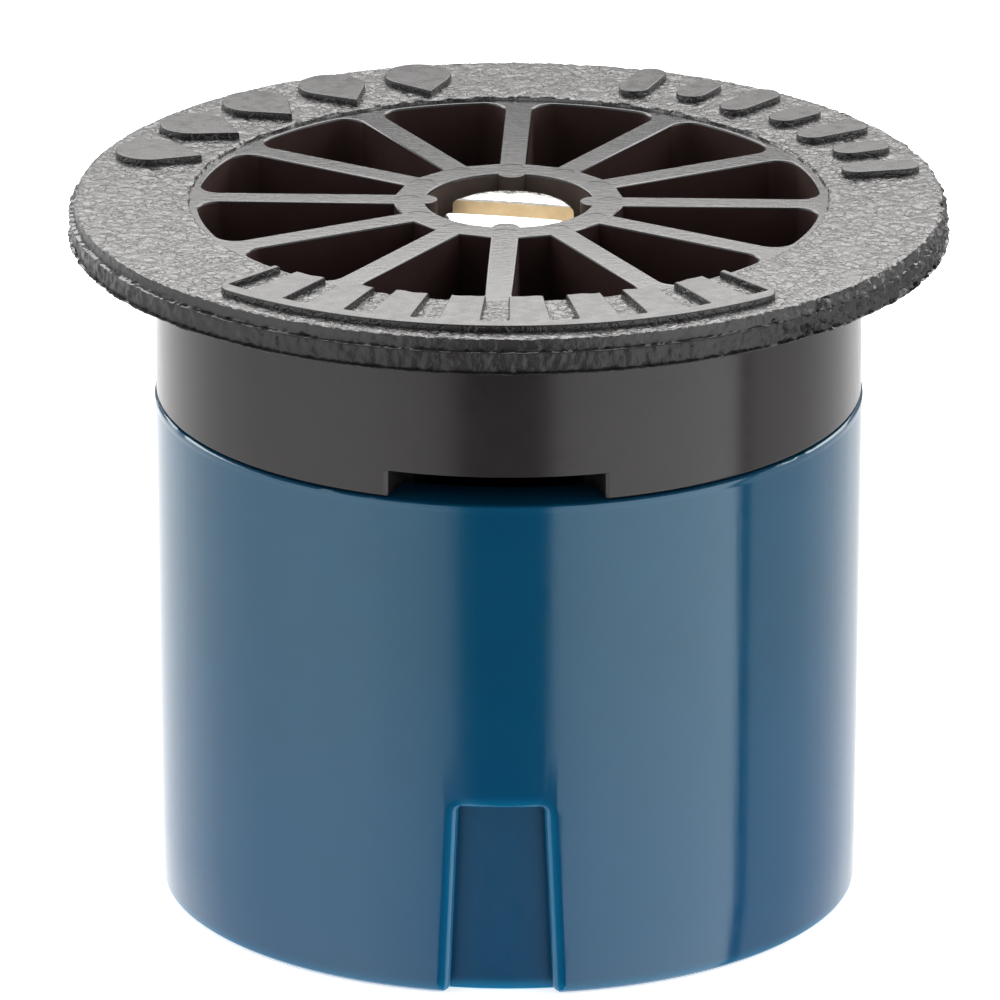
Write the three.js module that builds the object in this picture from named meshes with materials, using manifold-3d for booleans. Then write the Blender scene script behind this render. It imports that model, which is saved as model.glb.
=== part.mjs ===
// Fixed spray nozzle that screws onto the riser of a pop up sprinkler.
// A black deflector cap is fixed in a blue threaded body. A steel screw in the hub throttles the water.
// Millimetres, +Z up. The skirt's rim stands on z = 0, the axis is x = y = 0 and the outlet faces -Y.

import * as THREE from 'three';
import { mergeVertices } from 'three/addons/utils/BufferGeometryUtils.js';
import Module from 'manifold-3d';

const wasm = await Module();
wasm.setup();

// ---------- driving dimensions ----------

const ROUND = 48;                  // facets round every large turned surface
const FINE = 24;                   // facets round the small ones
const FACET_DEG = 360 / ROUND;
const POCKET_SEGMENTS = 2;         // each arc of a pocket or a rib gets twice as many facets
const RIB_SEGMENTS = 5;
const GAP = 0.05;                  // clearance between neighbouring pieces
const PAST = 1;                    // how far a cutting tool runs past the face it opens

// Flange and top face of the cap
const FLANGE_R = 11.1;             // widest, at the mould's parting line: 7/8 in across
const FLANGE_EDGE_R = 10.99;       // top edge
const FLANGE_ROOT_R = 11.04;       // lower edge
const FLANGE_UNDER_Z = 17.2;
const PARTING_Z = 17.8;
const GRAIN_Z = 18.1;              // grained ring round the spokes
const GRAIN_INNER_R = 8.05;
const SPOKE_Z = 18.0;              // smooth spokes and hub
const GRAIN_SLOPE = 0.1;           // how far the step between them leans in

// Pockets between the spokes
const SPOKES = 12;
const SPOKE_WIDTH = 0.7;
const POCKET_R = 7.83;
const POCKET_CORNER_R = 0.55;
const POCKET_FLOOR_Z = 14.9;
const HUB_APOTHEM = 2.88;          // flat sides of the twelve-sided hub

// Hub bore, from the top down
const HUB_BORE_R = 2.1;
const HUB_BORE_FLOOR_Z = 14.2;
const HUB_RIBS = 4;
const HUB_RIB_R = 0.35;
const HUB_RIB_REACH = 0.3;         // how far a rib stands into the bore
const GLAND_R = 1.75;              // bore the O-ring slides in
const GLAND_FLOOR_Z = 11.1;
const SCREW_BORE_R = 1.17;
const BOSS_R = 2.45;
const BOSS_Z = 10.3;

// Arc indicator at the front of the flange
const ARC_HALF_DEG = 42;
const ARC_WALL_DEG = 1.1;
const ARC_TOP_Z = 18.25;
const ARC_OUTER_R = 10.38;
const ARC_BAND = 0.4;
const ARC_INNER_R = 8.15;
const PADS = 8;
const PAD_DEG = 6;

// Collar, outlet and plug of the cap
const COLLAR_R = 8.9;
const SEAM_Z = 13.05;              // where the cap meets the body
const OUTLET_HALF_DEG = 17.8;
const OUTLET_TOP_Z = 13.77;
const PLUG_WALL = 1.0;
const PLUG_Z = 10.2;

// Blue body
const BODY_TOP_R = 8.95;
const BODY_BASE_R = 8.83;
const BODY_TOP_EDGE = 0.12;        // small bevel at the seam
const CUP_R = 7.5;                 // inside of the cup over the web
const WEB_TOP_Z = 9.8;
const WEB_Z = 8.6;
const ORIFICE_R = 1.25;
const THREAD_MAJOR_R = 7.94;       // 5/8 in female thread
const THREAD_MINOR_R = 7.45;
const THREAD_PITCH = 25.4 / 28;
const THREAD_CREST = THREAD_PITCH / 8;
const THREAD_FOOT = THREAD_PITCH * 0.8;
const THREAD_TURNS = 7;
const THREAD_START_Z = 1.0;        // middle of the lowest crest
const RIM_EDGE = 0.15;             // bevels on the skirt's rim
const WASHER_CUP_OUTER_R = 6.0;
const WASHER_CUP_R = 5.2;
const WASHER_CUP_Z = 6.4;

// Recesses in the skirt, front and back
const RECESS_HEIGHT = 5.05;
const RECESS_TOP_HALF_DEG = 7.3;
const RECESS_BASE_HALF_DEG = 8.67;
const RECESS_DEPTH = 0.45;
const RECESS_TURN_DEG = 0.8;       // how far the body sits turned from the cap's outlet

// Adjusting screw, in the position it was set to
const HEAD_R = 1.65;
const HEAD_TOP_Z = 17.77;
const HEAD_HEIGHT = 1.2;
const SLOT_WIDTH = 1.1;
const SLOT_DEPTH = 0.6;
const SLOT_TURN_DEG = -9.5;
const HEAD_EDGE = 0.12;            // bevel round the head
const SHANK_R = 1.1;
const GROOVE_R = 0.9;
const TIP_Z = 8.9;
const TIP_R = 0.5;
const TIP_TAPER = 1.0;

// Seals
const O_RING_R = 1.33;             // axis to the middle of the section
const O_RING_SECTION_R = 0.36;
const O_RING_Z = 13.6;
const O_RING_SIDES = 8;
const WASHER_R = 5.1;
const WASHER_HOLE_R = 1.35;
const WASHER_THICKNESS = 1.4;
const RETAINER_INNER_R = 3.9;
const RETAINER_THICKNESS = 0.55;
const GASKET_R = 7.4;              // passes the thread's crests
const GASKET_INNER_R = 6.3;
const GASKET_THICKNESS = 0.8;

// ---------- geometry helpers ----------

const radians = THREE.MathUtils.degToRad;
const polar = (r, a) => new THREE.Vector2(r * Math.cos(a), r * Math.sin(a));
const FRONT = radians(-90);
const BACK = radians(90);

// A closed three.js geometry as a solid that can be cut and joined.
function solid(geometry) {
  const bare = geometry.clone();
  bare.deleteAttribute('normal');
  bare.deleteAttribute('uv');
  const merged = mergeVertices(bare, 1e-5);
  const index = merged.index.array;
  const faces = [];
  for (let i = 0; i < index.length; i += 3) {
    const [a, b, c] = [index[i], index[i + 1], index[i + 2]];
    if (a !== b && b !== c && c !== a) faces.push(a, b, c);
  }
  return new wasm.Manifold(new wasm.Mesh({
    numProp: 3,
    vertProperties: new Float32Array(merged.attributes.position.array),
    triVerts: new Uint32Array(faces),
  }));
}

// A solid of revolution about Z. The outline runs anticlockwise in the (radius, z) plane.
function turned(outline, facets = ROUND) {
  const points = outline.map(([r, z]) => new THREE.Vector2(r, z));
  if (outline[0][0] > 0) points.push(points[0].clone());
  return solid(new THREE.LatheGeometry(points, facets).rotateX(Math.PI / 2));
}

// A straight-sided solid from z0 up to z1. Each arc gets twice as many facets as curveSegments.
function prism(shape, z0, z1, curveSegments) {
  const depth = z1 - z0;
  const extruded = new THREE.ExtrudeGeometry(shape, { depth, bevelEnabled: false, curveSegments });
  return solid(extruded.translate(0, 0, z0));
}

// A ring sector between two radii and two angles.
function sector(rIn, rOut, from, to, z0, z1) {
  const shape = new THREE.Shape();
  shape.absarc(0, 0, rOut, from, to, false);
  shape.absarc(0, 0, rIn, to, from, true);
  return prism(shape, z0, z1, Math.ceil(THREE.MathUtils.radToDeg(to - from) / FACET_DEG / 2));
}

function around(count, make) {
  return Array.from({ length: count }, (_, i) => make((2 * Math.PI * i) / count));
}

const join = (first, ...others) => others.reduce((sum, other) => sum.add(other), first);
const cut = (first, ...others) => others.reduce((rest, other) => rest.subtract(other), first);

function named(name, shape, material) {
  const { vertProperties, triVerts } = shape.getMesh();
  const geometry = new THREE.BufferGeometry();
  geometry.setAttribute('position', new THREE.BufferAttribute(vertProperties, 3));
  geometry.setIndex(new THREE.BufferAttribute(triVerts, 1));
  geometry.computeVertexNormals();
  const mesh = new THREE.Mesh(geometry, material);
  mesh.name = name;
  return mesh;
}

// ---------- materials ----------

const bluePlastic = new THREE.MeshStandardMaterial({ color: 0x1c5478, roughness: 0.35, metalness: 0 });
const blackPlastic = new THREE.MeshStandardMaterial({ color: 0x1d1b1c, roughness: 0.45, metalness: 0 });
const steel = new THREE.MeshStandardMaterial({ color: 0xcfcdc8, roughness: 0.3, metalness: 1 });
const sealRubber = new THREE.MeshStandardMaterial({ color: 0x141414, roughness: 0.8, metalness: 0 });
const washerRubber = new THREE.MeshStandardMaterial({ color: 0x2b2b2d, roughness: 0.75, metalness: 0 });
const acetal = new THREE.MeshStandardMaterial({ color: 0xd9d6cb, roughness: 0.5, metalness: 0 });
const gasketRubber = new THREE.MeshStandardMaterial({ color: 0x1a1a1a, roughness: 0.8, metalness: 0 });

// ---------- deflector cap ----------

// One pocket between two spokes: a flat inner side, straight flanks and a round outer wall.
function pocketShape(middle) {
  const flank = SPOKE_WIDTH / 2;
  const step = Math.PI / SPOKES;
  const innerHalf = Math.tan(step) * HUB_APOTHEM - flank / Math.cos(step);
  const cornerReach = POCKET_R - POCKET_CORNER_R;
  const cornerAngle = step - Math.asin((flank + POCKET_CORNER_R) / cornerReach);
  const shape = new THREE.Shape();
  const inner = new THREE.Vector2(HUB_APOTHEM, 0);
  const turn = (v) => v.rotateAround(new THREE.Vector2(), middle);
  const start = turn(inner.clone().setY(-innerHalf));
  const end = turn(inner.clone().setY(innerHalf));
  const right = turn(polar(cornerReach, -cornerAngle));
  const left = turn(polar(cornerReach, cornerAngle));
  const quarter = Math.PI / 2;
  shape.moveTo(start.x, start.y);
  shape.absarc(right.x, right.y, POCKET_CORNER_R, middle - step - quarter, middle - cornerAngle, false);
  shape.absarc(0, 0, POCKET_R, middle - cornerAngle, middle + cornerAngle, false);
  shape.absarc(left.x, left.y, POCKET_CORNER_R, middle + cornerAngle, middle + step + quarter, false);
  shape.lineTo(end.x, end.y);
  shape.closePath();
  return shape;
}

function arcIndicator() {
  const half = radians(ARC_HALF_DEG);
  const wall = radians(ARC_WALL_DEG);
  const bandInner = ARC_OUTER_R - ARC_BAND;
  const raised = (rIn, rOut, from, to) =>
    sector(rIn, rOut, FRONT + from, FRONT + to, SPOKE_Z, ARC_TOP_Z);
  const gap = (2 * half - PADS * radians(PAD_DEG)) / (PADS + 1);
  const pads = Array.from({ length: PADS }, (_, i) => {
    const from = -half + gap + i * (radians(PAD_DEG) + gap);
    return raised(ARC_INNER_R, bandInner + GAP, from, from + radians(PAD_DEG));
  });
  return join(
    raised(bandInner, ARC_OUTER_R, -half - wall, half + wall),
    raised(ARC_INNER_R, ARC_OUTER_R - GAP, -half - wall, -half),
    raised(ARC_INNER_R, ARC_OUTER_R - GAP, half, half + wall),
    ...pads,
  );
}

function deflectorCap() {
  const plugR = CUP_R - GAP;
  const seam = SEAM_Z + GAP;
  const blank = turned([
    [0, OUTLET_TOP_Z],
    [plugR - PLUG_WALL, OUTLET_TOP_Z],
    [plugR - PLUG_WALL, PLUG_Z],
    [plugR, PLUG_Z],
    [plugR, seam],
    [COLLAR_R, seam],
    [COLLAR_R, FLANGE_UNDER_Z],
    [FLANGE_ROOT_R, FLANGE_UNDER_Z],
    [FLANGE_R, PARTING_Z],
    [FLANGE_EDGE_R, GRAIN_Z],
    [GRAIN_INNER_R, GRAIN_Z],
    [GRAIN_INNER_R - GRAIN_SLOPE, SPOKE_Z],
    [0, SPOKE_Z],
  ]);
  const boss = turned([[0, BOSS_Z], [BOSS_R, BOSS_Z], [BOSS_R, POCKET_FLOOR_Z], [0, POCKET_FLOOR_Z]], FINE);
  const bore = turned([
    [0, BOSS_Z - PAST],
    [SCREW_BORE_R, BOSS_Z - PAST],
    [SCREW_BORE_R, GLAND_FLOOR_Z],
    [GLAND_R, GLAND_FLOOR_Z],
    [GLAND_R, HUB_BORE_FLOOR_Z],
    [HUB_BORE_R, HUB_BORE_FLOOR_Z],
    [HUB_BORE_R, SPOKE_Z + PAST],
    [0, SPOKE_Z + PAST],
  ], FINE);
  const pockets = around(SPOKES, (a) =>
    prism(pocketShape(a + Math.PI / SPOKES), POCKET_FLOOR_Z, SPOKE_Z + PAST, POCKET_SEGMENTS));
  const ribAt = HUB_BORE_R + HUB_RIB_R - HUB_RIB_REACH;
  const ribs = around(HUB_RIBS, (a) => {
    const centre = polar(ribAt, a);
    const round = new THREE.Shape();
    round.absarc(centre.x, centre.y, HUB_RIB_R, 0, 2 * Math.PI, false);
    return prism(round, HUB_BORE_FLOOR_Z - GAP, SPOKE_Z, RIB_SEGMENTS);
  });
  const half = radians(OUTLET_HALF_DEG);
  const outletInner = plugR - PLUG_WALL - GAP;
  const outletOuter = COLLAR_R + PAST;
  const outlet = sector(outletInner, outletOuter, FRONT - half, FRONT + half, PLUG_Z - PAST, OUTLET_TOP_Z);
  return join(cut(join(blank, boss), bore, ...pockets, outlet), ...ribs, arcIndicator());
}

// ---------- nozzle body ----------

// The female thread's ridges, as parallel rings at the real pitch, from the top one down.
function threadOutline() {
  const ridges = Array.from({ length: THREAD_TURNS }, (_, i) => THREAD_START_Z + i * THREAD_PITCH);
  return ridges.reverse().flatMap((z) => [
    [THREAD_MAJOR_R, z + THREAD_FOOT / 2],
    [THREAD_MINOR_R, z + THREAD_CREST / 2],
    [THREAD_MINOR_R, z - THREAD_CREST / 2],
    [THREAD_MAJOR_R, z - THREAD_FOOT / 2],
  ]);
}

// A recess with a round floor, narrower at its top than at the rim.
function skirtRecess(middle) {
  const floorR = BODY_BASE_R - RECESS_DEPTH;
  const halfTop = floorR * Math.tan(radians(RECESS_TOP_HALF_DEG));
  const halfBase = floorR * Math.tan(radians(RECESS_BASE_HALF_DEG));
  const slope = (halfBase - halfTop) / RECESS_HEIGHT;
  const face = new THREE.Shape([
    new THREE.Vector2(-halfBase - slope * PAST, -PAST),
    new THREE.Vector2(halfBase + slope * PAST, -PAST),
    new THREE.Vector2(halfTop, RECESS_HEIGHT),
    new THREE.Vector2(-halfTop, RECESS_HEIGHT),
  ]);
  const outerR = BODY_TOP_R + PAST;
  const block = new THREE.ExtrudeGeometry(face, { depth: outerR, bevelEnabled: false });
  block.translate(0, 0, floorR - PAST).rotateX(Math.PI / 2).rotateZ(middle - FRONT);
  const lowZ = -2 * PAST;
  const ring = turned([[floorR, lowZ], [outerR, lowZ], [outerR, SEAM_Z], [floorR, SEAM_Z]]);
  return solid(block).intersect(ring);
}

function nozzleBody() {
  const blank = turned([
    [THREAD_MAJOR_R + RIM_EDGE, 0],
    [BODY_BASE_R - RIM_EDGE, 0],
    [BODY_BASE_R, RIM_EDGE],
    [BODY_TOP_R, SEAM_Z - BODY_TOP_EDGE],
    [BODY_TOP_R - BODY_TOP_EDGE, SEAM_Z],
    [CUP_R, SEAM_Z],
    [CUP_R, WEB_TOP_Z],
    [ORIFICE_R, WEB_TOP_Z],
    [ORIFICE_R, WEB_Z],
    [WASHER_CUP_R, WEB_Z],
    [WASHER_CUP_R, WASHER_CUP_Z],
    [WASHER_CUP_OUTER_R, WASHER_CUP_Z],
    [WASHER_CUP_OUTER_R, WEB_Z],
    [THREAD_MAJOR_R, WEB_Z],
    ...threadOutline(),
    [THREAD_MAJOR_R, 2 * RIM_EDGE],
  ]);
  const turn = radians(RECESS_TURN_DEG);
  return cut(blank, skirtRecess(FRONT + turn), skirtRecess(BACK + turn));
}

// ---------- adjusting screw ----------

function adjustingScrew() {
  const headZ = HEAD_TOP_Z - HEAD_HEIGHT;
  const grooveHalf = O_RING_SECTION_R + GAP;
  const blank = turned([
    [0, TIP_Z],
    [TIP_R, TIP_Z],
    [SHANK_R, TIP_Z + TIP_TAPER],
    [SHANK_R, O_RING_Z - grooveHalf],
    [GROOVE_R, O_RING_Z - grooveHalf],
    [GROOVE_R, O_RING_Z + grooveHalf],
    [SHANK_R, O_RING_Z + grooveHalf],
    [SHANK_R, headZ],
    [HEAD_R, headZ],
    [HEAD_R, HEAD_TOP_Z - HEAD_EDGE],
    [HEAD_R - HEAD_EDGE, HEAD_TOP_Z],
    [0, HEAD_TOP_Z],
  ], FINE);
  const slot = new THREE.BoxGeometry(2 * (HEAD_R + PAST), SLOT_WIDTH, 2 * SLOT_DEPTH);
  slot.translate(0, 0, HEAD_TOP_Z).rotateZ(radians(SLOT_TURN_DEG));
  return cut(blank, solid(slot));
}

// ---------- seals and retainer ----------

// A flat ring that stands on z.
function washer(rIn, rOut, z, thickness) {
  const top = z + thickness;
  return turned([[rIn, z], [rOut, z], [rOut, top], [rIn, top]]);
}

function screwORing() {
  const ring = new THREE.TorusGeometry(O_RING_R, O_RING_SECTION_R, O_RING_SIDES, FINE);
  return solid(ring.translate(0, 0, O_RING_Z));
}

const washerZ = WEB_Z - GAP - WASHER_THICKNESS;
const retainerZ = washerZ - GAP - RETAINER_THICKNESS;
const gasketZ = WEB_Z - GAP - GASKET_THICKNESS;

// ---------- assembly ----------

const nozzle = new THREE.Group();
nozzle.add(
  named('nozzle_body', nozzleBody(), bluePlastic),
  named('deflector_cap', deflectorCap(), blackPlastic),
  named('adjusting_screw', adjustingScrew(), steel),
  named('screw_o_ring', screwORing(), sealRubber),
  named('flow_control_washer', washer(WASHER_HOLE_R, WASHER_R, washerZ, WASHER_THICKNESS), washerRubber),
  named('washer_retainer', washer(RETAINER_INNER_R, WASHER_R, retainerZ, RETAINER_THICKNESS), acetal),
  named('riser_gasket', washer(GASKET_INNER_R, GASKET_R, gasketZ, GASKET_THICKNESS), gasketRubber),
);

export default nozzle;
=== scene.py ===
"""Looks of the spray nozzle: fine meshes, materials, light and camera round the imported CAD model.

Lengths are in millimetres in this script, and scaled to metres where a mesh is made.
The nozzle's axis is x = y = 0, its skirt stands on z = 0 and its outlet faces -Y.
"""
import bpy
import math
import numpy as np
from mathutils import Matrix, Vector, noise


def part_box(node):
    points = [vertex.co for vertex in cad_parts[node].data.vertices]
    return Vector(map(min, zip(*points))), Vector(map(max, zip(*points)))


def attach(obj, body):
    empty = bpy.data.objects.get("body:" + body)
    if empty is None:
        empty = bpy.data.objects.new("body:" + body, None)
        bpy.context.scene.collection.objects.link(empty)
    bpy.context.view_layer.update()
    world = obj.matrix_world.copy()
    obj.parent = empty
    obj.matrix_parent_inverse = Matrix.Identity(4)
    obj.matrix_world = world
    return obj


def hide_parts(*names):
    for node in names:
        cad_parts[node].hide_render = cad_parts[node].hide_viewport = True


MM = 0.001
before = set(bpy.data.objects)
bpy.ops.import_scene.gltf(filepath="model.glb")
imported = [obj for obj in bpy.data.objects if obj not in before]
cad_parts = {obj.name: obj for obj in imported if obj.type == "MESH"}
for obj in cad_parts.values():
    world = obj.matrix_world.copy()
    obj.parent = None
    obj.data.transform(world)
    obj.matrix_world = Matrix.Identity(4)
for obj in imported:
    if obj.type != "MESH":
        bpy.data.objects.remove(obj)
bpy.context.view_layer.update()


def box_mm(node):
    low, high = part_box(node)
    return [v / MM for v in low], [v / MM for v in high]


cap_low, cap_high = box_mm("deflector_cap")
_, body_high = box_mm("nozzle_body")
screw_low, screw_high = box_mm("adjusting_screw")
ring_low, ring_high = box_mm("screw_o_ring")
washer_low, washer_high = box_mm("flow_control_washer")
retainer_low, retainer_high = box_mm("washer_retainer")
gasket_low, gasket_high = box_mm("riser_gasket")

# Cap
FLANGE_R = cap_high[0]             # at the parting line
MARK_Z = cap_high[2]               # top of everything raised on the flange
GRAIN_Z = MARK_Z - 0.15            # grained ring
SPOKE_Z = MARK_Z - 0.25            # smooth spokes and hub
FLANGE_UNDER_Z = MARK_Z - 1.05
FLANGE_EDGE_R = FLANGE_R - 0.11
LEDGE_Z = GRAIN_Z - 0.32           # little step round the rim, where the mould parts
GRAIN_INNER_R = 8.05
COLLAR_R = 8.9
PLUG_Z = cap_low[2]
PLUG_WALL = 1.0
OUTLET_HALF_DEG = 17.8
OUTLET_TOP_Z = 13.77
SPOKES = 12
SPOKE_WIDTH = 0.7
POCKET_R = 7.83
POCKET_CORNER_R = 0.55
POCKET_FLOOR_Z = 14.9
POCKET_DRAFT = 0.10
HUB_APOTHEM = 2.88
HUB_BORE_R = 2.1
HUB_BORE_FLOOR_Z = 14.2
HUB_RIBS = 4
HUB_RIB_R = 0.35
HUB_RIB_REACH = 0.3
GLAND_R = 1.75
GLAND_FLOOR_Z = 11.1
SCREW_BORE_R = 1.17
BOSS_R = 2.45
BOSS_Z = 10.3                      # the boss's lower end
EJECTOR_MARK_R = 0.31
EJECTOR_MARK_AT = 2.55
EJECTOR_MARK_DEPTH = 0.006
RIM_TORN_FROM_DEG = 24             # where the rim's ledge is lost in torn plastic, round from the front
RIM_TORN_TO_DEG = 150
RIM_TORN_FADE_DEG = 20

# Arc indicator
FRONT = math.radians(-90)
ARC_HALF_DEG = 42
ARC_WALL_DEG = 1.1
ARC_OUTER_R = 10.38
ARC_BAND = 0.4
ARC_INNER_R = 8.15
ARC_CORNER_R = 0.6
PADS = 8
PAD_DEG = 6

# Plain raised bars and drops round the flange
BARS = 7
BAR_START_DEG = 14
BAR_STEP_DEG = 9.5
BAR_INNER_R = 8.6
BAR_OUTER_R = 10.6
BAR_CUT = 0.25                     # off both ends of every other bar
BAR_WIDTH = 0.8
DROPS = 5
DROP_START_DEG = 106
DROP_STEP_DEG = 14
DROP_MIDDLE_R = 9.7
DROP_R = 0.86

# Body
SEAM_Z = body_high[2]
BODY_TOP_R = body_high[0]
BODY_BASE_R = 8.83
CUP_R = 7.5
CUP_GAP = 0.05                     # between the cup and the cap's plug
SEAM_GAP = 0.04                    # between the cup's edge and the cap's collar
WEB_TOP_Z = 9.8
WEB_Z = 8.6
ORIFICE_R = 1.25
THREAD_MAJOR_R = 7.94
THREAD_MINOR_R = 7.45
THREAD_PITCH = 25.4 / 28
THREAD_START_Z = 0.75
THREAD_END_Z = 7.0
WASHER_CUP_OUTER_R = 6.0
WASHER_CUP_R = 5.2
WASHER_CUP_Z = 6.4
RECESS_HEIGHT = 5.05
RECESS_TOP_HALF_DEG = 7.3
RECESS_BASE_HALF_DEG = 8.67
RECESS_DEPTH = 0.45
RECESS_TURN_DEG = 0.8              # how far the body sits turned from the cap's outlet

# Screw
HEAD_R = screw_high[0]
HEAD_TOP_Z = screw_high[2]
HEAD_HEIGHT = 1.2
HEAD_CROWN = 0.02                  # how far the head falls away from its middle
SLOT_WIDTH = 1.1
SLOT_DEPTH = 0.6
SLOT_TURN_DEG = -9.5
SHANK_R = 1.1
GROOVE_R = 0.9
SCREW_PITCH = 0.5
SCREW_THREAD_DEPTH = 0.2

# Holes in the rings
WASHER_INNER_R = 1.35
RETAINER_INNER_R = 3.9
RETAINER_SPLIT = 0.7
GASKET_INNER_R = 6.3

# Facets round a turned surface
FACETS = 288
SMALL_FACETS = 144
O_RING_FACETS = 192
WASHER_FACETS = 240
GRAIN_FACETS = 1080

QUARTER = math.pi / 2

# ---------- mesh helpers ----------


def add_object(name, points, faces):
    """A mesh object from points in millimetres."""
    mesh = bpy.data.meshes.new(name)
    mesh.from_pydata((np.asarray(points, float) * MM).tolist(), [], faces)
    mesh.update()
    obj = bpy.data.objects.new(name, mesh)
    bpy.context.scene.collection.objects.link(obj)
    return obj


def turned(name, outline, facets=FACETS, shift=None):
    """A closed solid turned about Z. The outline runs anticlockwise in the (radius, z) plane, and starts and
    ends on the axis or else closes on itself. shift(radius, z, angle) moves a whole ring of points."""
    angles = np.arange(facets) * 2 * math.pi / facets
    points, rows = [], []
    for r, z in outline:
        start = len(points)
        if r == 0:
            points.append((0, 0, z))
            rows.append([start] * facets)
            continue
        radius, height = np.full(facets, float(r)), np.full(facets, float(z))
        if shift:
            radius, height = shift(radius, height, angles)
        ring = np.stack([radius * np.cos(angles), radius * np.sin(angles), height], 1)
        points.extend(ring.tolist())
        rows.append(list(range(start, start + facets)))
    if outline[0][0] > 0:
        rows.append(rows[0])
    faces = []
    for low, high in zip(rows, rows[1:]):
        for i in range(facets):
            j = (i + 1) % facets
            face = [low[i], low[j], high[j], high[i]]
            faces.append(list(dict.fromkeys(face)))
    return add_object(name, points, faces)


def loft(name, levels):
    """A closed solid through outlines of equal length, from the bottom up. Each level is (points, z), and its
    points run anticlockwise."""
    count = len(levels[0][0])
    points = [(x, y, z) for outline, z in levels for x, y in outline]
    faces = [list(range(count))[::-1]]
    for level in range(len(levels) - 1):
        for i in range(count):
            j = (i + 1) % count
            low, high = level * count, (level + 1) * count
            faces.append([low + i, low + j, high + j, high + i])
    faces.append([(len(levels) - 1) * count + i for i in range(count)])
    return add_object(name, points, faces)


def polar(radius, angle):
    return (radius * math.cos(angle), radius * math.sin(angle))


def arc(centre, radius, start, end, count):
    """Points on an arc, both ends included."""
    angles = np.linspace(start, end, count)
    return [(centre[0] + radius * math.cos(a), centre[1] + radius * math.sin(a)) for a in angles]


def inset(points, distance):
    """An anticlockwise outline moved inwards by the same distance everywhere."""
    here = np.array(points, float)
    before = here - np.roll(here, 1, 0)
    after = np.roll(here, -1, 0) - here
    before /= np.linalg.norm(before, axis=1)[:, None]
    after /= np.linalg.norm(after, axis=1)[:, None]
    turn = lambda v: np.stack([-v[:, 1], v[:, 0]], 1)
    sides = turn(before) + turn(after)
    mitre = sides / (1 + (before * after).sum(1))[:, None]
    return (here + distance * mitre).tolist()


def rotated(points, angle):
    c, s = math.cos(angle), math.sin(angle)
    return [(x * c - y * s, x * s + y * c) for x, y in points]


def joined(name, objects):
    """Several objects as one mesh of separate closed shells."""
    for o in bpy.context.selected_objects:
        o.select_set(False)
    for o in objects:
        o.select_set(True)
    bpy.context.view_layer.objects.active = objects[0]
    bpy.ops.object.join()
    objects[0].name = name
    return objects[0]


def combine(target, tool, operation):
    """Joins the tool to the target, or cuts it out, and removes it."""
    modifier = target.modifiers.new(operation, "BOOLEAN")
    modifier.operation = operation
    modifier.solver = "MANIFOLD"
    modifier.object = tool
    bpy.context.view_layer.objects.active = target
    bpy.ops.object.modifier_apply(modifier=modifier.name)
    bpy.data.objects.remove(tool)


def shade(obj, degrees=32, flat=()):
    """Smooth shading, led by the large faces. Upper surfaces between the heights in flat, a list of
    (low, high) in millimetres, stay flat up to their small bevels."""
    mesh = obj.data
    mesh.shade_smooth()
    mesh.set_sharp_from_angle(angle=math.radians(degrees))
    weighted = obj.modifiers.new("weighted", "WEIGHTED_NORMAL")
    weighted.weight = 90
    weighted.keep_sharp = True
    with bpy.context.temp_override(object=obj, active_object=obj):
        bpy.ops.object.modifier_apply(modifier=weighted.name)
    if not flat:
        return
    mesh = obj.data
    on_top = [any(low - 1e-4 < v.co.z / MM < high + 1e-4 for low, high in flat) for v in mesh.vertices]
    normals = [tuple(n.vector) for n in mesh.corner_normals]
    for face in mesh.polygons:
        if face.normal.z > 0.3:
            for corner in face.loop_indices:
                if on_top[mesh.loops[corner].vertex_index]:
                    normals[corner] = (0.0, 0.0, 1.0)
    mesh.normals_split_custom_set(normals)


def noise_field(x, y, z, scale, seed):
    """Perlin noise at many points, with about one feature each 1/scale millimetres."""
    offset = 31.7 * seed
    flat = zip(x * scale + offset, y * scale - offset, z * scale + offset)
    return np.array([noise.noise(Vector(p)) for p in flat])


# ---------- deflector cap ----------


def pocket(angle):
    """One blind pocket between two spokes, with a little draft and a softened top edge."""
    step = math.pi / SPOKES

    def outline(shrink):
        flank = SPOKE_WIDTH / 2 + shrink
        outer = POCKET_R - shrink
        inner = HUB_APOTHEM + shrink
        corner = POCKET_CORNER_R
        reach = outer - corner
        swing = step - math.asin((flank + corner) / reach)
        half = math.tan(step) * inner - flank / math.cos(step)
        return [
            (inner, -half),
            *arc(polar(reach, -swing), corner, -step - QUARTER, -swing, 10),
            *arc((0, 0), outer, -swing, swing, 14)[1:-1],
            *arc(polar(reach, swing), corner, swing, step + QUARTER, 10),
            (inner, half),
        ]

    levels = [
        (POCKET_DRAFT, POCKET_FLOOR_Z),
        (0.0, SPOKE_Z - 0.05),
        (-0.02, SPOKE_Z - 0.015),
        (-0.06, SPOKE_Z + 0.01),
        (-0.06, SPOKE_Z + 1),
    ]
    return loft("pocket", [(rotated(outline(shrink), angle + step), z) for shrink, z in levels])


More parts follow.
